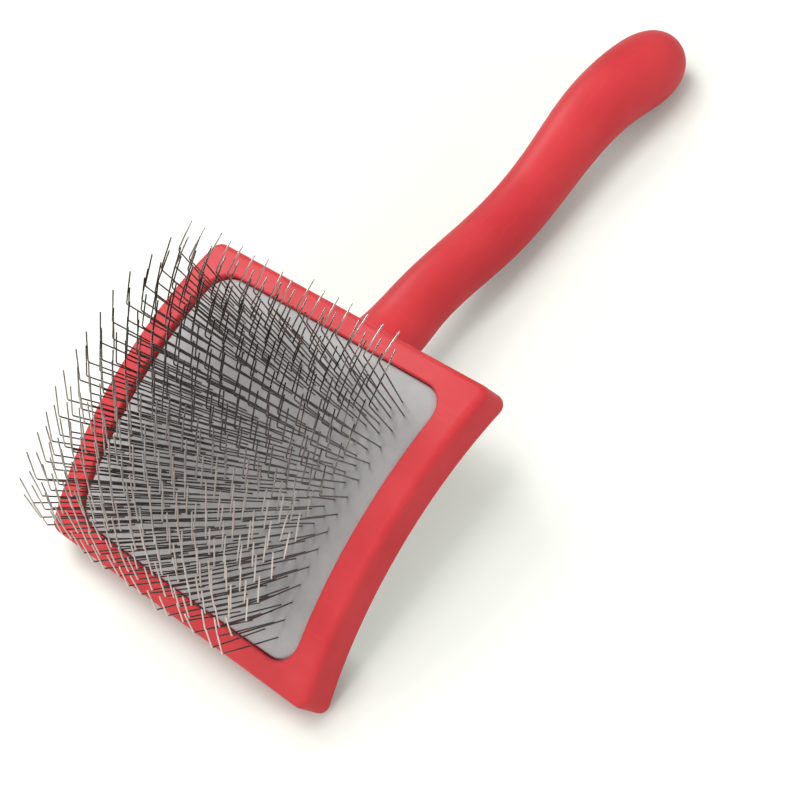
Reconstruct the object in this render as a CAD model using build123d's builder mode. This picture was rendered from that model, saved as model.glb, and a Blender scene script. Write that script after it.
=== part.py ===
# Slicker brush: a curved wooden head with a cushioned pad of knee-bent wire pins
# and a separate S-shaped wooden handle, doweled to a hump on the back of the head.
# Millimetres. The brush lies on its back with the pins up: +Z is up, +Y runs along the handle,
# and the origin is the middle of the bounding box on the surface that the brush lies on.

import os
from math import asin, cos, degrees, hypot, radians, sin

from build123d import *

os.makedirs("parts", exist_ok=True)

# ---- driving dimensions -------------------------------------------------------------------

# head block: a curved plate with straight sawn ends, bent round an axis that runs across the head
headWidth = 120.0
headLength = 108.8
faceRadius = 143.0
plateThickness = 13.5
cornerRadius = 4.0
frontRounding = 2.5
backRounding = 2.0

# how the brush lies: slope of the head's middle, and where the middle of its face is
headTilt = 18.954
headCentre = Vector(0, -82.453, 40.207)

# pocket in the face that holds the pad
sideRim = 9.8
endRim = 7.8
pocketDepth = 7.0
pocketCorner = 9.0
rimRounding = 0.8
padClearance = 0.2
cutReach = 5.0

# pad: foam cushion, woven backing, rubber face in one strip for each row of pins
padBelowRim = 1.8
padCrown = 1.2
rubberThickness = 1.6
backingThickness = 0.9

# pins: square wire in staples set askew, each leg with a knee and a tip bent towards the handle
rowCount = 14
rowPitch = 5.93
rowShift = -1.0
staplesPerRow = 16
staplePitch = 5.3
stapleAcross = 3.3
stapleAlong = 3.3
pinRoot = 0.8
wireSize = 0.45
legLength = 26.2
tipLength = 10.5

# how the pins fan out, in degrees, from a leg's place along and across the pad in millimetres:
# the lean is towards the handle, the spread is towards the nearer side
legLean = -8.0
legLeanEnds = 0.0033
legSpread = 0.444
legSpreadEnds = -0.00018
tipLean = 52.2
tipLeanAlong = -0.107
tipLeanEnds = 0.0044
tipLeanCurl = 0.0003
tipSpread = 0.166
tipSpreadAlong = -0.0018

# handle: oval sections, given as distance along the head, height, slope, half width, half depth
# the last two share a slope, so that the grip runs into the butt without a crease
jointAt = headLength / 2
handleSections = [
    (jointAt, -38.0, 0.0, 10.3, 12.8),
    (70.0, -44.0, -22.0, 9.7, 11.1),
    (87.0, -52.4, -28.0, 9.5, 11.1),
    (104.0, -61.7, -25.0, 9.8, 11.2),
    (121.0, -67.9, -16.5, 9.8, 11.2),
    (138.0, -71.4, -11.5, 10.1, 11.5),
    (154.0, -74.9, -17.0, 11.0, 12.3),
    (170.0, -82.42, -31.87, 12.11, 12.83),
    (176.5, -87.0, -36.77, 12.62, 13.06),
    (178.5, -88.5, -36.77, 12.67, 13.09),
]
buttLength = 20.12      # past the last section
buttFullness = 0.66     # how far the round of the butt is carried towards its corners

# hump on the back of the head: distance along the head, height, half width, half height
humpSections = [
    (jointAt, -38.0, 10.3, 12.8),
    (44.0, -32.4, 12.8, 14.6),
    (30.0, -25.6, 15.2, 13.4),
    (14.0, -19.6, 16.8, 10.2),
    (-3.0, -14.8, 15.5, 6.2),
    (-24.0, -11.6, 9.5, 2.0),
]
humpBlend = 6.0

# dowel between the hump and the handle
dowelDiameter = 10.0
dowelLength = 50.0
dowelSlope = -20.0
dowelHeight = -38.2
dowelEndGap = 1.0
dowelChamfer = 0.8
fluteCount = 8
fluteDiameter = 1.0

# ---- frames and places --------------------------------------------------------------------

tilt = radians(headTilt)
across = Vector(1, 0, 0)
along = Vector(0, cos(tilt), sin(tilt))
outward = Vector(0, -sin(tilt), cos(tilt))
bendCentre = headCentre - outward * faceRadius
bendAxis = Axis(bendCentre, across * -1)
sidePlane = Plane(origin=headCentre, x_dir=along, z_dir=across)

pocketHalfWidth = headWidth / 2 - sideRim
pocketHalfLength = headLength / 2 - endRim


def headPoint(y, z, x=0.0):
    # a point given along and out from the middle of the head's face
    return headCentre + along * y + outward * z + across * x


def crossPlane(y, z, slope=0.0):
    # a plane across the handle's direction, at a place in the side view
    turn = radians(slope)
    return Plane(origin=headPoint(y, z), x_dir=across, z_dir=along * cos(turn) + outward * sin(turn))


def bendPlane(angle):
    # the plane that holds the bend's axis, at an angle in degrees from the head's middle;
    # its y axis points out from the bend's centre
    turn = radians(angle)
    out = outward * cos(turn) + along * sin(turn)
    tangent = along * cos(turn) - outward * sin(turn)
    return Plane(origin=bendCentre, x_dir=across, z_dir=tangent * -1), out, tangent


def arcAngle(arc):
    # degrees of bend for a length along the face
    return degrees(arc / faceRadius)


def curvedArc(radius, halfLength):
    # an arc about the bend's axis, in the side plane, between the block's two straight ends
    halfAngle = degrees(asin(halfLength / radius))
    return CenterArc((0, -faceRadius), radius, 90 - halfAngle, 2 * halfAngle)


def curvedBlock(halfWidth, halfLength, lowRadius, highRadius, corner):
    # a curved plate with straight ends and rounded plan corners
    with BuildPart() as block:
        with BuildSketch(sidePlane):
            with BuildLine():
                top = curvedArc(highRadius, halfLength)
                bottom = curvedArc(lowRadius, halfLength)
                Line(top @ 0, bottom @ 0)
                Line(top @ 1, bottom @ 1)
            make_face()
        extrude(amount=halfWidth, both=True)
        corners = block.edges().filter_by(GeomType.LINE).sort_by(SortBy.LENGTH)[:4]
        fillet(corners, corner)
    return block.part


def bendRadius(point):
    # distance of a point from the bend's axis
    arm = point - bendCentre
    return hypot(arm.dot(along), arm.dot(outward))


def bentFaces(block):
    # the back and the front of a bent plate, the back first
    widest = block.faces().filter_by(GeomType.CYLINDER).sort_by(SortBy.AREA)[-2:]
    return widest.sort_by_distance(bendCentre)


def padLayer(lowEdge, highEdge, fromAngle, toAngle, lowCrown, highCrown, halfWidth):
    # a crowned layer of the pad, swept round the head's axis between two angles
    plane, _, _ = bendPlane(fromAngle)
    with BuildPart() as layer:
        with BuildSketch(plane):
            with BuildLine():
                Line((-halfWidth, highEdge), (-halfWidth, lowEdge))
                if lowCrown:
                    ThreePointArc((-halfWidth, lowEdge), (0, lowEdge + lowCrown), (halfWidth, lowEdge))
                else:
                    Line((-halfWidth, lowEdge), (halfWidth, lowEdge))
                Line((halfWidth, lowEdge), (halfWidth, highEdge))
                ThreePointArc((halfWidth, highEdge), (0, highEdge + highCrown), (-halfWidth, highEdge))
            make_face()
        revolve(axis=bendAxis, revolution_arc=toAngle - fromAngle)
    return layer.part


# ---- head block ---------------------------------------------------------------------------

padFloor = faceRadius - pocketDepth
backRadius = faceRadius - plateThickness
pocket = curvedBlock(pocketHalfWidth, pocketHalfLength, padFloor, faceRadius + cutReach, pocketCorner)
plate = curvedBlock(headWidth / 2, headLength / 2, backRadius, faceRadius, cornerRadius)

with BuildPart() as dowelBore:
    with BuildSketch(crossPlane(jointAt, dowelHeight, dowelSlope)):
        Circle(dowelDiameter / 2)
    extrude(amount=dowelLength / 2 + dowelEndGap, both=True)

with BuildPart() as hump:
    for y, z, halfWidth, halfHeight in humpSections:
        with BuildSketch(crossPlane(y, z)):
            Ellipse(halfWidth, halfHeight)
    loft()

with BuildPart() as headBlock:
    add(plate)
    fillet(bentFaces(headBlock)[1].edges(), frontRounding)
    fillet(bentFaces(headBlock)[0].edges(), backRounding)
    add(hump.part)
    fillet(headBlock.edges(Select.NEW), humpBlend)
    add(pocket, mode=Mode.SUBTRACT)
    cutEdges = headBlock.edges(Select.NEW)
    fillet(cutEdges.filter_by(lambda e: bendRadius(e @ 0.5) > faceRadius - rimRounding), rimRounding)
    add(dowelBore.part, mode=Mode.SUBTRACT)

headBlock.part.label = "head_block"
export_step(headBlock.part, "parts/head_block.step")

# ---- handle -------------------------------------------------------------------------------

buttY, buttZ, buttSlope, buttHalfWidth, buttHalfDepth = handleSections[-1]
buttPlane = crossPlane(buttY, buttZ, buttSlope)
buttSide = Plane(origin=buttPlane.origin, x_dir=buttPlane.z_dir, z_dir=across)

# the butt is turned round and then narrowed to the last section's oval
with BuildPart() as butt:
    with BuildSketch(buttSide):
        with BuildLine():
            Bezier(
                (0, buttHalfDepth), (buttFullness * buttLength, buttHalfDepth),
                (buttLength, buttFullness * buttHalfDepth), (buttLength, 0))
            Polyline((buttLength, 0), (0, 0), (0, buttHalfDepth))
        make_face()
    revolve(axis=Axis(buttPlane.origin, buttPlane.z_dir))
    scale(by=(buttHalfWidth / buttHalfDepth, 1, 1))

with BuildPart() as handle:
    for y, z, slope, halfWidth, halfDepth in handleSections:
        with BuildSketch(crossPlane(y, z, slope)):
            Ellipse(halfWidth, halfDepth)
    loft()
    add(butt.part)
    add(dowelBore.part, mode=Mode.SUBTRACT)

handle.part.label = "handle"
export_step(handle.part, "parts/handle.step")

# ---- dowel --------------------------------------------------------------------------------

with BuildPart() as dowel:
    with BuildSketch(crossPlane(jointAt, dowelHeight, dowelSlope)):
        Circle(dowelDiameter / 2)
    extrude(amount=dowelLength / 2, both=True)
    chamfer(dowel.edges().filter_by(GeomType.CIRCLE), dowelChamfer)
    with BuildSketch(crossPlane(jointAt, dowelHeight, dowelSlope)):
        with PolarLocations(dowelDiameter / 2, fluteCount):
            Circle(fluteDiameter / 2)
    extrude(amount=dowelLength / 2, both=True, mode=Mode.SUBTRACT)

dowel.part.label = "handle_dowel"
export_step(dowel.part, "parts/handle_dowel.step")

# ---- pad ----------------------------------------------------------------------------------

padTop = faceRadius - padBelowRim
rubberLow = padTop - rubberThickness
backingLow = rubberLow - backingThickness
padHalfWidth = pocketHalfWidth - padClearance
padHalfLength = pocketHalfLength - padClearance
padCorner = pocketCorner - padClearance
padOutline = curvedBlock(padHalfWidth, padHalfLength, padFloor - cutReach, faceRadius + cutReach, padCorner)
overAngle = arcAngle(padHalfLength + cutReach)

with BuildPart() as cushion:
    add(padLayer(padFloor, backingLow, -overAngle, overAngle, 0, padCrown, padHalfWidth))
    add(padOutline, mode=Mode.INTERSECT)

cushion.part.label = "foam_cushion"
export_step(cushion.part, "parts/foam_cushion.step")

with BuildPart() as backing:
    add(padLayer(backingLow, rubberLow, -overAngle, overAngle, padCrown, padCrown, padHalfWidth))
    add(padOutline, mode=Mode.INTERSECT)

backing.part.label = "pad_backing"
export_step(backing.part, "parts/pad_backing.step")

# ---- rows of pins, each in its strip of the rubber face -----------------------------------


def wirePin(foot, knee, tip):
    # square wire with a mitred knee
    lower = (knee - foot).normalized()
    upper = (tip - knee).normalized()
    side = lower.cross(upper).normalized()
    mitre = (lower + upper).normalized()
    mitreDepth = wireSize / mitre.dot(lower)
    footFace = Plane(origin=foot, x_dir=side, z_dir=lower) * Rectangle(wireSize, wireSize)
    kneeFace = Plane(origin=knee, x_dir=side, z_dir=mitre) * Rectangle(wireSize, mitreDepth)
    tipFace = Plane(origin=tip, x_dir=side, z_dir=upper) * Rectangle(wireSize, wireSize)
    return Solid.make_loft([footFace.wire(), kneeFace.wire(), tipFace.wire()], ruled=True)


def leanVector(out, tangent, lean, sideLean):
    # a direction that leans towards the handle and across the head, both in degrees
    flat = out * cos(radians(lean)) + tangent * sin(radians(lean))
    return flat * cos(radians(sideLean)) + across * sin(radians(sideLean))


def bentPin(x, arc):
    # one leg of a staple, from its place across and along the pad
    _, out, tangent = bendPlane(arcAngle(arc))
    lowLean = legLean + legLeanEnds * arc ** 2
    lowSpread = (legSpread + legSpreadEnds * arc ** 2) * x
    highLean = tipLean + tipLeanAlong * arc + tipLeanEnds * arc ** 2 + tipLeanCurl * arc ** 3
    highSpread = (tipSpread + tipSpreadAlong * arc) * x
    crown = padCrown * (1 - (x / padHalfWidth) ** 2)
    foot = bendCentre + out * (padTop + crown - pinRoot) + across * x
    knee = foot + leanVector(out, tangent, lowLean, lowSpread) * (legLength + pinRoot)
    tip = knee + leanVector(out, tangent, highLean, highSpread) * tipLength
    return wirePin(foot, knee, tip)


def rowPins(arc):
    # the front legs of a row's staples, then the back legs, each a step aside and along
    firstStaple = -(staplesPerRow - 1) / 2 * staplePitch
    pins = []
    for staple in range(staplesPerRow):
        x = firstStaple + staple * staplePitch
        pins.append(bentPin(x + stapleAcross / 2, arc - stapleAlong / 2))
        pins.append(bentPin(x - stapleAcross / 2, arc + stapleAlong / 2))
    return pins


for row in range(rowCount):
    rowArc = (row - (rowCount - 1) / 2) * rowPitch + rowShift
    fromAngle = arcAngle(rowArc - rowPitch / 2)
    toAngle = arcAngle(rowArc + rowPitch / 2)
    if row == 0:
        fromAngle = -overAngle
    if row == rowCount - 1:
        toAngle = overAngle
    pins = rowPins(rowArc)
    with BuildPart() as pinRow:
        add(padLayer(rubberLow, padTop, fromAngle, toAngle, padCrown, padCrown, padHalfWidth))
        if row in (0, rowCount - 1):
            add(padOutline, mode=Mode.INTERSECT)
        add(pins)
    pinRow.part.label = f"pin_row_{row + 1:02d}"
    export_step(pinRow.part, f"parts/{pinRow.part.label}.step")
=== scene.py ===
import random
from math import cos, exp, pi, radians, sin, sqrt

import bpy
from mathutils import Euler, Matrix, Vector


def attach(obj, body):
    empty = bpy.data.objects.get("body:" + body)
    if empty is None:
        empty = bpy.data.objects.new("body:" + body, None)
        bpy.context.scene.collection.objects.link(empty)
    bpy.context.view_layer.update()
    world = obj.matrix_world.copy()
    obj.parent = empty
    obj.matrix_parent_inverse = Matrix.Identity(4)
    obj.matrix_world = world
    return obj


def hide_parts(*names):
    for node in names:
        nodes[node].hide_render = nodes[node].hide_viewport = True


# Slicker brush: the painted head, handle and dowel come from the frame and get their finish here.
# The cushion, its cloth, the rubber face and the wire pins are built here in their places.
# Metres, +Z up, the brush on its back with the pins up.

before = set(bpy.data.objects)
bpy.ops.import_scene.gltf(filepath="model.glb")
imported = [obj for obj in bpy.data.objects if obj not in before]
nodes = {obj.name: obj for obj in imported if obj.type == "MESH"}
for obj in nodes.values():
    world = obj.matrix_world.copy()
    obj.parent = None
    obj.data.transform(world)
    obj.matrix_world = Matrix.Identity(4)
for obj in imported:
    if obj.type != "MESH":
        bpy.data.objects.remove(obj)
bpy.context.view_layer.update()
print("frame loaded:", len(nodes), "nodes")


class Sock:
    # a socket that can be reckoned with: each operator adds its Math node
    def __init__(self, tree, socket):
        self.tree = tree
        self.socket = socket

    def math(self, operation, *values):
        node = self.tree.nodes.new("ShaderNodeMath")
        node.operation = operation
        for place, value in zip(node.inputs, values):
            plug(self.tree, place, value)
        return Sock(self.tree, node.outputs[0])

    def __add__(self, other):
        return self.math("ADD", self, other)

    def __radd__(self, other):
        return self.math("ADD", other, self)

    def __sub__(self, other):
        return self.math("SUBTRACT", self, other)

    def __rsub__(self, other):
        return self.math("SUBTRACT", other, self)

    def __mul__(self, other):
        return self.math("MULTIPLY", self, other)

    def __rmul__(self, other):
        return self.math("MULTIPLY", other, self)

    def sine(self):
        return self.math("SINE", self)

    def either(self, other):
        return self.math("MAXIMUM", self, other)


def plug(tree, place, value):
    # a link for a socket, a plain value for anything else
    if isinstance(value, Sock):
        tree.links.new(value.socket, place)
    else:
        place.default_value = value


class Nodes:
    # a node tree, and the few calls that its nodes are made with
    def __init__(self, tree):
        self.tree = tree
        tree.nodes.clear()

    def node(self, kind, settings=None, values=None, out=0):
        # settings first, because they change which sockets there are
        node = self.tree.nodes.new(kind)
        for key, value in (settings or {}).items():
            setattr(node, key, value)
        for key, value in (values or {}).items():
            plug(self.tree, node.inputs[key], value)
        return Sock(self.tree, node.outputs[out] if node.outputs else None)

    def outputs(self, first):
        # every output of the node that a socket belongs to, by name
        return {output.name: Sock(self.tree, output) for output in first.socket.node.outputs}

    def seen(self):
        # 1 for what the camera sees, straight or in metal and glass, and 0 for what lights the object
        rays = self.outputs(self.node("ShaderNodeLightPath"))
        return rays["Is Camera Ray"].either(rays["Is Glossy Ray"]).either(rays["Is Transmission Ray"])

    def place(self):
        # object coordinates, in metres in the row frame
        return self.node("ShaderNodeTexCoord", out="Object")

    def stretch(self, vector, scale):
        return self.node("ShaderNodeMapping", {}, {"Vector": vector, "Scale": scale})

    def noise(self, vector, scale, detail=2.0, rough=0.5, warp=0.0):
        return self.node("ShaderNodeTexNoise", {}, {
            "Vector": vector, "Scale": scale, "Detail": detail, "Roughness": rough, "Distortion": warp})

    def axes(self, vector):
        return self.outputs(self.node("ShaderNodeSeparateXYZ", {}, {"Vector": vector}))

    def ramp(self, value, low, high, toLow=0.0, toHigh=1.0):
        return self.node("ShaderNodeMapRange", {"interpolation_type": "SMOOTHSTEP"}, {
            "Value": value, "From Min": low, "From Max": high, "To Min": toLow, "To Max": toHigh})

    def blend(self, factor, first, second):
        # colours are mixed here, and never in a Math node
        colours = {"Factor": factor, "A": first, "B": second}
        return self.node("ShaderNodeMix", {"data_type": "RGBA"}, colours, "Result")

    def bump(self, height, distance, strength=1.0, after=None):
        values = {"Height": height, "Distance": distance, "Strength": strength}
        if after:
            values["Normal"] = after
        return self.node("ShaderNodeBump", {}, values)


class Finish(Nodes):
    # one material, and the name of its slot, kept with it
    def __init__(self, name, slot=""):
        self.material = bpy.data.materials.new(name)
        self.material.use_nodes = True
        self.slot = slot
        super().__init__(self.material.node_tree)

    def shaded(self, shader):
        self.node("ShaderNodeOutputMaterial", {}, {"Surface": shader})
        return self

    def surface(self, **values):
        named = {key.replace("_", " "): value for key, value in values.items()}
        return self.shaded(self.node("ShaderNodeBsdfPrincipled", {}, named))


def paint(obj, finish):
    obj.data.materials.clear()
    obj.data.materials.append(finish.material)


# painted wood: head and handle
coral = {
    "paint": (0.710, 0.061, 0.070, 1),       # full coat
    "thin": (0.740, 0.080, 0.088, 1),        # where the coat is a little thinner over the grain
    "deep": (0.650, 0.048, 0.057, 1),        # where it gathered
    "poreLength": 26.0, "poreWidth": 900.0,  # noise scales along and across the grain, per metre
    "drift": 34.0, "peel": 1300.0,           # noise scales of the uneven coat and of its orange peel
    "streaks": 0.30,                         # how far the pores show as thin paint
    "sheen": 0.50, "sheenDrift": 0.12, "sheenPores": 0.10, "specular": 0.14,
    "relief": 0.00003,
}


def paintedWood(name, grain):
    # grain runs along one axis of the frame, and tells faintly through the coat
    f = Finish(name, "painted_wood")
    here = f.place()
    scales = tuple(coral["poreLength"] if axis == grain else coral["poreWidth"] for axis in "xyz")
    pores = f.noise(f.stretch(here, scales), 1.0, 3.0, 0.6)
    drift = f.noise(here, coral["drift"], 3.0, 0.55)
    peel = f.noise(here, coral["peel"], 2.0, 0.5)
    base = f.blend(f.ramp(drift, 0.35, 0.68), coral["paint"], coral["deep"])
    base = f.blend(f.ramp(pores, 0.52, 0.78, 0.0, coral["streaks"]), base, coral["thin"])
    rough = coral["sheen"] + (drift - 0.5) * coral["sheenDrift"] + (pores - 0.5) * coral["sheenPores"]
    relief = f.bump(pores, coral["relief"], 0.25)
    relief = f.bump(peel, coral["relief"], 0.35, relief)
    return f.surface(Base_Color=base, Roughness=rough, Normal=relief, Specular_IOR_Level=coral["specular"])


paint(nodes["head_block"], paintedWood("coral paint on the head", "x"))
paint(nodes["handle"], paintedWood("coral paint on the handle", "y"))
print("head and handle painted")


# bare beech: the dowel in the joint
beech = {
    "early": (0.60, 0.40, 0.22, 1), "late": (0.44, 0.26, 0.13, 1), "fleck": (0.33, 0.18, 0.09, 1),
    "rings": (420, 16, 420), "flecks": (2600, 240, 2600),    # noise scales, the long way along the handle
    "rough": 0.62, "relief": 0.0001,
}


def bareBeech():
    f = Finish("bare beech", "bare_wood")
    here = f.place()
    rings = f.noise(f.stretch(here, beech["rings"]), 1.0, 3.0, 0.6, 0.4)
    flecks = f.noise(f.stretch(here, beech["flecks"]), 1.0, 1.0)
    base = f.blend(f.ramp(rings, 0.35, 0.68), beech["early"], beech["late"])
    base = f.blend(f.ramp(flecks, 0.66, 0.76, 0.0, 0.6), base, beech["fleck"])
    relief = f.bump(rings, beech["relief"], 0.5)
    return f.surface(Base_Color=base, Roughness=beech["rough"] + (rings - 0.5) * 0.2, Normal=relief)


paint(nodes["handle_dowel"], bareBeech())


# the curve of the head
head = {
    "tilt": radians(18.954),
    "centre": Vector((0, -0.082453, 0.040207)),
    "radius": 0.143,
}
along = Vector((0, cos(head["tilt"]), sin(head["tilt"])))
outward = Vector((0, -sin(head["tilt"]), cos(head["tilt"])))
across = Vector((1, 0, 0))
bendCentre = head["centre"] - outward * head["radius"]


def bendFrame(arc):
    # away from the bend's centre, and along the face towards the handle
    turn = arc / head["radius"]
    return outward * cos(turn) + along * sin(turn), along * cos(turn) - outward * sin(turn)


def curvedPoint(x, y, radius):
    # a point of a curved layer, from its place across and along the head
    return bendCentre + across * x + along * y + outward * sqrt(radius ** 2 - y ** 2)


# wire pins: staples set askew, so that each has a front leg and a back leg
# lean and spread are in degrees, by powers of the leg's place along the pad in millimetres
pins = {
    "rows": 14, "pitch": 0.00593, "shift": -0.001, "staples": 16, "across": 0.0053, "askew": 0.0033,
    "wire": 0.00024, "leg": 0.0262, "tip": 0.0105, "root": 0.0008, "knee": 0.0012,
    "legLean": (-8.0, 0, 0.0033), "legSpread": (0.444, 0, -0.00018),
    "tipLean": (52.2, -0.107, 0.0044, 0.0003), "tipSpread": (0.166, -0.0018),
    "sides": 8, "bend": 5,
    "chamfer": 0.5, "clipped": 0.62,         # length and end of the chamfer, as shares of the wire's radius
    "legScatter": 1.2, "tipScatter": 1.9,    # degrees
    "legUneven": 0.0004, "tipUneven": (-0.0004, 0.0003), "kneeUneven": (0.6, 1.25),
}


millimetres = 1000


def fan(powers, arc):
    return sum(factor * (arc * millimetres) ** power for power, factor in enumerate(powers))


def lean(out, tangent, forward, side):
    flat = out * cos(radians(forward)) + tangent * sin(radians(forward))
    return flat * cos(radians(side)) + across * sin(radians(side))


pad = {
    "halfWidth": 0.0500, "halfLength": 0.0464, "corner": 0.0088, "crown": 0.0012,
    "face": 0.1412, "rubber": 0.0016, "cloth": 0.0009, "floor": 0.1360,
    "step": 0.0007, "coarse": 0.002, "cornerSteps": 14, "edge": 0.0010,
    # how each leg draws the rubber down: a narrow dimple in a wide pull, never deeper than "deepest"
    "dimple": 0.00028, "dimpleWide": 0.0008, "pull": 0.00022, "pullWide": 0.0021, "deepest": 0.0007,
    "cell": 0.004,                           # grid in which the legs near a point are looked up
}


def crownAt(x):
    return pad["crown"] * (1 - (x / pad["halfWidth"]) ** 2)


def pinRoots():
    # every leg: row, arc, x
    half = pins["askew"] / 2
    for row in range(pins["rows"]):
        arc = (row - (pins["rows"] - 1) / 2) * pins["pitch"] + pins["shift"]
        for staple in range(pins["staples"]):
            x = (staple - (pins["staples"] - 1) / 2) * pins["across"]
            yield row, arc - half, x + half
            yield row, arc + half, x - half


def wirePath(root, knee, tip, radius, steps):
    # straight leg, an arc at the knee, straight tip with a clipped end
    lower = (knee - root).normalized()
    upper = (tip - knee).normalized()
    turn = lower.angle(upper)
    setback = radius * sin(turn / 2) / cos(turn / 2)
    start = knee - lower * setback
    bow = (upper - lower * lower.dot(upper)).normalized()
    hub = start + bow * radius
    path = [root]
    for step in range(steps + 1):
        a = turn * step / steps
        path.append(hub - bow * radius * cos(a) + lower * radius * sin(a))
    path.append(tip)
    return path


def tube(path, radius, sides, verts, faces):
    # a round wire along a flat path, its free end clipped with a small chamfer
    side = (path[1] - path[0]).cross(path[-1] - path[-2]).normalized()
    stations = [(point, radius) for point in path]
    last = (path[-1] - path[-2]).normalized()
    stations[-1] = (path[-1] - last * radius * pins["chamfer"], radius)
    stations.append((path[-1], radius * pins["clipped"]))
    first = len(verts)
    for place, (point, r) in enumerate(stations):
        before = stations[max(place - 1, 0)][0]
        after = stations[min(place + 1, len(stations) - 1)][0]
        ahead = (after - before).normalized()
        up = ahead.cross(side).normalized()
        for k in range(sides):
            a = 2 * pi * k / sides
            verts.append(point + side * (r * cos(a)) + up * (r * sin(a)))
    for ring in range(len(stations) - 1):
        for k in range(sides):
            a = first + ring * sides + k
            b = first + ring * sides + (k + 1) % sides
            faces.append((a, b, b + sides, a + sides))
    faces.append(tuple(first + (len(stations) - 1) * sides + k for k in range(sides)))
    faces.append(tuple(first + k for k in reversed(range(sides))))


def putIn(name, data):
    obj = bpy.data.objects.new(name, data)
    bpy.context.collection.objects.link(obj)
    return obj


creaseAngle = radians(42)


def makeMesh(name, verts, faces, smooth=True):
    mesh = bpy.data.meshes.new(name)
    mesh.from_pydata(verts, [], faces)
    mesh.validate()
    if smooth:
        mesh.shade_smooth()
        mesh.set_sharp_from_angle(angle=creaseAngle)
    return putIn(name, mesh)


steel = {
    "metal": (0.190, 0.172, 0.160, 1), "dull": (0.120, 0.105, 0.096, 1),
    "painted_tip_gleam": (0.650, 0.590, 0.555, 1),        # painted highlight: tips made lighter in place of the reflections they catch
    "cut": (0.86, 0.82, 0.78, 1), "rough": 0.24, "cutRough": 0.55,
    "drawn": 900.0, "spots": 140.0, "shear": 5200.0,     # noise scales
    "relief": 0.00001,
    # which tips carry the painted highlight, by the leg's place along the pad: the front half, and the last
    # row a little
    "gleamTo": 0.008, "gleamOver": 0.020, "lastFrom": 0.034, "lastOver": 0.004, "lastShare": 0.7,
}


def pinSteel():
    f = Finish("drawn steel wire", "pin_strip")
    here = f.place()
    drawn = f.noise(here, steel["drawn"], 2.0, 0.6)
    spots = f.noise(here, steel["spots"], 2.0, 0.5)
    base = f.blend(f.ramp(spots, 0.40, 0.70), steel["metal"], steel["dull"])
    # painted highlight: the tips are blended towards a light colour that stands in for their reflections
    painted_tip_gleam = f.node("ShaderNodeAttribute", {"attribute_name": "painted_tip_gleam"}, {}, "Fac")
    base = f.blend(painted_tip_gleam, base, steel["painted_tip_gleam"])
    rough = steel["rough"] + (drawn - 0.5) * 0.16 + painted_tip_gleam * 0.10
    relief = f.bump(drawn, steel["relief"], 0.3)
    return f.surface(Base_Color=base, Metallic=1.0, Roughness=rough, Normal=relief)


def cutSteel():
    # the sheared ends are rougher and brighter than the drawn wire
    f = Finish("sheared wire ends", "pin_strip")
    shear = f.noise(f.place(), steel["shear"], 1.0, 0.5)
    base = f.blend(f.ramp(shear, 0.35, 0.70), steel["cut"], steel["metal"])
    relief = f.bump(shear, steel["relief"], 0.4)
    return f.surface(Base_Color=base, Metallic=0.6, Roughness=steel["cutRough"], Normal=relief)


def tipGleamShare(arc):
    # share of painted highlight on a tip: full in the front half of the pad, some on the last row
    front = min(max((steel["gleamTo"] - arc) / steel["gleamOver"], 0), 1)
    last = min(max((arc - steel["lastFrom"]) / steel["lastOver"], 0), 1)
    return front * front * (3 - 2 * front) + steel["lastShare"] * last


chance = random.Random(21)
steelWire = pinSteel()
wireEnds = cutSteel()
rowParts = {row: ([], [], []) for row in range(pins["rows"])}
for row, arc, x in pinRoots():
    out, tangent = bendFrame(arc)
    side = x * millimetres
    height = pad["face"] + crownAt(x)
    root = bendCentre + out * (height - pins["root"]) + across * x
    legWay = lean(
        out, tangent, fan(pins["legLean"], arc) + chance.gauss(0, pins["legScatter"]),
        fan(pins["legSpread"], arc) * side + chance.gauss(0, pins["legScatter"]))
    tipWay = lean(
        out, tangent, fan(pins["tipLean"], arc) + chance.gauss(0, pins["tipScatter"]),
        fan(pins["tipSpread"], arc) * side + chance.gauss(0, pins["tipScatter"]))
    legLength = pins["leg"] + pins["root"] + chance.uniform(-pins["legUneven"], pins["legUneven"])
    knee = root + legWay * legLength
    tip = knee + tipWay * (pins["tip"] + chance.uniform(*pins["tipUneven"]))
    path = wirePath(root, knee, tip, pins["knee"] * chance.uniform(*pins["kneeUneven"]), pins["bend"])
    verts, faces, painted_tip_gleam = rowParts[row]
    tube(path, pins["wire"], pins["sides"], verts, faces)
    # each tip vertex carries its share of painted highlight, each leg none
    painted_tip_gleam += [tipGleamShare(arc) if (point - knee).dot(tipWay) > 0 else 0.0 for point in verts[len(painted_tip_gleam):]]
for row, (verts, faces, painted_tip_gleam) in rowParts.items():
    obj = makeMesh(f"wire_pins_{row + 1:02d}", verts, faces)
    obj.data.attributes.new("painted_tip_gleam", "FLOAT", "POINT").data.foreach_set("value", painted_tip_gleam)
    paint(obj, steelWire)
    obj.data.materials.append(wireEnds.material)
    for face in obj.data.polygons:
        if len(face.vertices) == pins["sides"]:
            face.material_index = 1
    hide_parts(f"pin_row_{row + 1:02d}")
    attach(obj, "root")
print("pins:", 2 * pins["rows"] * pins["staples"])


# cushion: foam, cloth and the rubber face
def padGrid(step):
    # rows of (x, y) that fill the rounded outline
    wide, long, corner, turns = pad["halfWidth"], pad["halfLength"], pad["corner"], pad["cornerSteps"]
    ends = [-long + corner * (1 - cos(pi / 2 * k / turns)) for k in range(turns)]
    count = round(2 * (long - corner) / step)
    middle = [(long - corner) * (2 * k / count - 1) for k in range(count + 1)]
    ys = ends + middle + [-y for y in reversed(ends)]
    columns = round(2 * wide / step)
    rows = []
    for y in ys:
        over = max(abs(y) - (long - corner), 0)
        reach = wide - corner + sqrt(corner ** 2 - min(over, corner) ** 2)
        rows.append([(reach * (2 * k / columns - 1), y) for k in range(columns + 1)])
    return rows


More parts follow.
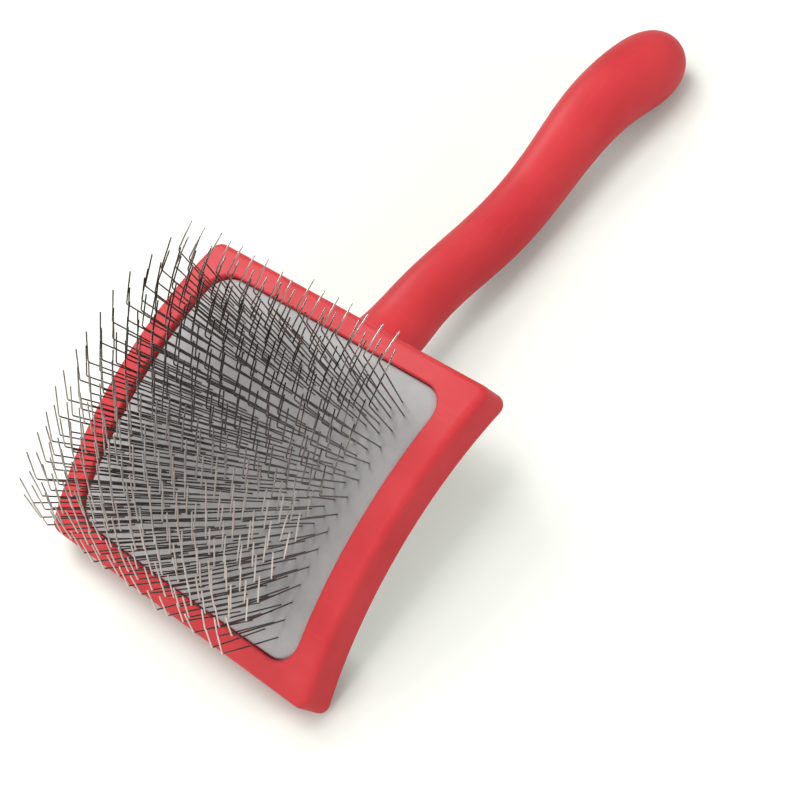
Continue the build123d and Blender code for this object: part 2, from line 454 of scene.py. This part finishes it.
def edgeFall(x, y, width):
    # 1 inside, down to 0 at the pad's outline
    dx = max(abs(x) - (pad["halfWidth"] - pad["corner"]), 0)
    dy = max(abs(y) - (pad["halfLength"] - pad["corner"]), 0)
    t = min(max((pad["corner"] - sqrt(dx * dx + dy * dy)) / width, 0), 1)
    return sqrt(1 - (1 - t) ** 2)


def padLayer(name, low, high, step):
    # a closed layer between two radii, each a function of (x, y)
    grid = padGrid(step)
    columns = len(grid[0])
    verts = [curvedPoint(x, y, radius(x, y)) for radius in (high, low) for line in grid for x, y in line]
    n = len(grid) * columns
    faces = []
    for j in range(len(grid) - 1):
        for i in range(columns - 1):
            a = j * columns + i
            faces.append((a, a + 1, a + columns + 1, a + columns))
            faces.append((n + a, n + a + columns, n + a + columns + 1, n + a + 1))
    rim = list(range(columns))
    rim += [j * columns + columns - 1 for j in range(1, len(grid))]
    rim += [(len(grid) - 1) * columns + i for i in range(columns - 2, -1, -1)]
    rim += [j * columns for j in range(len(grid) - 2, 0, -1)]
    for a, b in zip(rim, rim[1:] + rim[:1]):
        faces.append((b, a, n + a, n + b))
    return makeMesh(name, verts, faces)


def cellOf(x, y):
    return round(x / pad["cell"]), round(y / pad["cell"])


rootsNear = {}
for _, arc, x in pinRoots():
    y = pad["face"] * sin(arc / head["radius"])
    rootsNear.setdefault(cellOf(x, y), []).append((x, y))


def dent(x, y):
    # each leg draws the rubber down where it goes through
    depth = 0.0
    i, j = cellOf(x, y)
    for di in range(-2, 3):
        for dj in range(-2, 3):
            for px, py in rootsNear.get((i + di, j + dj), ()):
                d = (x - px) ** 2 + (y - py) ** 2
                depth += pad["dimple"] * exp(-d / pad["dimpleWide"] ** 2)
                depth += pad["pull"] * exp(-d / pad["pullWide"] ** 2)
    return min(depth, pad["deepest"])


def layerAt(depth):
    return lambda x, y: pad["face"] - depth + crownAt(x)


def rubberTop(x, y):
    return layerAt(pad["edge"] * (1 - edgeFall(x, y, pad["edge"] * 2)))(x, y) - dent(x, y)


clothLow = pad["rubber"] + pad["cloth"]
rubberFace = padLayer("rubber_face", layerAt(pad["rubber"]), rubberTop, pad["step"])
wovenBacking = padLayer("woven_backing", layerAt(clothLow), layerAt(pad["rubber"]), pad["coarse"])
foamLayer = padLayer("foam_layer", lambda x, y: pad["floor"], layerAt(clothLow), pad["coarse"])

greyRubber = {
    "grey": (0.425, 0.418, 0.418, 1), "chalk": (0.485, 0.476, 0.474, 1), "shade": (0.350, 0.345, 0.348, 1),
    "cloud": 60.0, "grit": 1800.0, "rough": 0.74, "relief": 0.00008,
}
cotton = {"weft": (0.52, 0.49, 0.43, 1), "warp": (0.68, 0.65, 0.58, 1), "repeat": 0.0012, "rough": 0.86}
foamCells = {
    "hollowShade": (0.36, 0.34, 0.28, 1), "wall": (0.62, 0.60, 0.52, 1), "aged": (0.70, 0.66, 0.52, 1),
    "cells": 1400.0, "tone": 80.0, "rough": 0.92,
}


def rubber():
    f = Finish("grey pad rubber", "pin_strip")
    here = f.place()
    cloud = f.noise(here, greyRubber["cloud"], 3.0, 0.55)
    grit = f.noise(here, greyRubber["grit"], 2.0, 0.6)
    base = f.blend(f.ramp(cloud, 0.35, 0.65), greyRubber["grey"], greyRubber["chalk"])
    base = f.blend(f.ramp(grit, 0.55, 0.80, 0.0, 0.35), base, greyRubber["shade"])
    rough = greyRubber["rough"] + (grit - 0.5) * 0.2
    return f.surface(Base_Color=base, Roughness=rough, Normal=f.bump(grit, greyRubber["relief"], 0.5))


def cloth():
    # plain weave: a thread over and a thread under in each repeat
    f = Finish("woven cotton backing", "cloth")
    axes = f.axes(f.place())
    turns = 2 * pi / cotton["repeat"]
    over = f.ramp((axes["X"] * turns).sine() * (axes["Y"] * turns).sine(), -0.6, 0.6)
    base = f.blend(over, cotton["weft"], cotton["warp"])
    relief = f.bump(over, 0.0002, 0.6)
    return f.surface(Base_Color=base, Roughness=cotton["rough"], Normal=relief, Sheen_Weight=0.2)


def foam():
    f = Finish("open cell foam", "foam")
    here = f.place()
    cells = f.node("ShaderNodeTexVoronoi", {"feature": "F1"}, {"Vector": here, "Scale": foamCells["cells"]})
    tone = f.noise(here, foamCells["tone"], 2.0, 0.5)
    # painted shade: the cell hollows are darker than the cell walls
    base = f.blend(f.ramp(cells, 0.1, 0.6), foamCells["hollowShade"], foamCells["wall"])
    base = f.blend(f.ramp(tone, 0.4, 0.7, 0.0, 0.3), base, foamCells["aged"])
    return f.surface(Base_Color=base, Roughness=foamCells["rough"], Normal=f.bump(cells, 0.0003, 0.7))


rowNames = [f"pin_row_{row + 1:02d}" for row in range(pins["rows"])]
paint(rubberFace, rubber())
paint(wovenBacking, cloth())
paint(foamLayer, foam())
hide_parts(*rowNames)
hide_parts("pad_backing")
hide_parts("foam_cushion")
for obj in (rubberFace, wovenBacking, foamLayer):
    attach(obj, "root")
print("cushion built")


# floor, sky and lights
studio = {
    "floor": (0.40, 0.40, 0.40, 1),          # for the light that it throws back on the brush
    "floorSeen": (0.66, 0.635, 0.60, 1),     # for the camera, in which the shadow falls
    "glow": (0.374, 0.440, 0.403, 1),        # lifts the floor that the camera sees to white
    "contactShadowReach": 0.012,                        # reach of the painted contact shadow: how near a piece dims that glow
    "nearFloor": 0.30, "farFloor": 0.80,     # from plain floor to sky
    "floorHalf": 3.0,
    "sky": (1.0, 1.0, 0.985, 1), "fill": 0.05,
    "card": {"height": 1.25, "half": 10.0, "black": (0.02, 0.02, 0.02, 1)},
    "middle": Vector((0, -0.03, 0.03)), "away": 1.1,             # what the softboxes face, and how far off
}
# each softbox: where from, width, power, tint, and whether it lights the surfaces, shows as a gleam, or both
softboxes = {
    "key": ((-0.50, 0.22, 0.90), 0.50, 5.6, (1.0, 0.99, 0.97), "light"),
    "top": ((0.00, 0.00, 1.00), 0.50, 5.6, (1.0, 1.0, 1.0), "light"),
    "side": ((0.90, 0.30, 0.30), 0.45, 5.2, (1.0, 0.99, 0.97), "light"),
    "front": ((-0.50, -0.80, 0.35), 0.45, 2.4, (1.0, 0.98, 0.95), "both"),
    "low": ((0.20, -0.90, 0.40), 0.45, 4.0, (1.0, 0.99, 0.97), "light"),
    "window": ((-0.66, 0.18, 0.72), 0.50, 12.5, (1.0, 1.0, 1.0), "gleam"),
    "glint": ((-0.60, -0.30, 0.74), 0.22, 1.8, (1.0, 0.99, 0.97), "gleam"),
}


def floorFinish():
    # the cast shadow is the floor's own; the paleness is added only for what is seen, and near pieces it is
    # dimmed into a painted contact shadow
    f = Finish("pale floor")
    seen = f.seen()
    pale = f.blend(seen, studio["floor"], studio["floorSeen"])
    matt = f.node("ShaderNodeBsdfDiffuse", {}, {"Color": pale})
    # painted contact shadow: ambient occlusion dims the glow near pieces
    clear = f.node("ShaderNodeAmbientOcclusion", {"samples": 8}, {"Distance": studio["contactShadowReach"]}, "AO")
    glow = f.node("ShaderNodeEmission", {}, {"Color": studio["glow"], "Strength": seen * clear})
    near = f.node("ShaderNodeAddShader", {}, {0: matt, 1: glow})
    # further out the floor runs into the sky, so that no edge shows from low down
    away = f.node("ShaderNodeVectorMath", {"operation": "LENGTH"}, {0: f.place()}, "Value")
    far = seen * f.ramp(away, studio["nearFloor"], studio["farFloor"])
    sky = f.node("ShaderNodeEmission", {}, {"Color": studio["sky"], "Strength": 1.0})
    return f.shaded(f.node("ShaderNodeMixShader", {}, {0: far, 1: near, 2: sky}))


def cardFinish():
    f = Finish("black card")
    return f.shaded(f.node("ShaderNodeBsdfDiffuse", {}, {"Color": studio["card"]["black"]}))


def flatSquare(name, half, height, finish, faceUp):
    corners = [(x * half, y * half, height) for x, y in ((-1, -1), (1, -1), (1, 1), (-1, 1))]
    obj = makeMesh(name, corners, [(0, 1, 2, 3) if faceUp else (0, 3, 2, 1)], smooth=False)
    obj.data.materials.append(finish.material)
    return obj


floor = flatSquare("studio_floor", studio["floorHalf"], 0, floorFinish(), True)

# the card overhead only shows as the dark side of the wires and in the gloss of the paint
card = flatSquare("studio_card", studio["card"]["half"], studio["card"]["height"], cardFinish(), False)
card.visible_camera = False
card.visible_diffuse = False
card.visible_shadow = False
card.visible_transmission = False

world = bpy.data.worlds.new("studio")
bpy.context.scene.world = world
world.use_nodes = True
air = Nodes(world.node_tree)
strength = studio["fill"] + air.seen() * (1.0 - studio["fill"])
sky = air.node("ShaderNodeBackground", {}, {"Color": studio["sky"], "Strength": strength})
air.node("ShaderNodeOutputWorld", {}, {"Surface": sky})

for name, (way, width, power, tint, kind) in softboxes.items():
    data = bpy.data.lights.new(name + " softbox", "AREA")
    data.size = width
    data.energy = power
    data.color = tint
    lamp = putIn(name + " softbox", data)
    lamp.visible_glossy = kind != "light"
    lamp.visible_diffuse = kind != "gleam"
    lamp.location = studio["middle"] + Vector(way).normalized() * studio["away"]
    lamp.rotation_euler = (studio["middle"] - lamp.location).to_track_quat("-Z", "Y").to_euler()

# the photograph's point of view
viewpoint = {
    "place": (0.32735, -0.191263, 0.45684), "turn": (35.174, 16.537, 41.087),
    "lens": 79.65, "sensor": 36.0, "clipStart": 0.01,
}
camera = putIn("camera", bpy.data.cameras.new("camera"))
camera.location = viewpoint["place"]
camera.rotation_euler = Euler([radians(angle) for angle in viewpoint["turn"]])
camera.data.lens = viewpoint["lens"]
camera.data.sensor_width = viewpoint["sensor"]
camera.data.clip_start = viewpoint["clipStart"]
bpy.context.scene.camera = camera
bpy.context.scene.view_settings.view_transform = "Standard"
print("floor, lights and camera set")
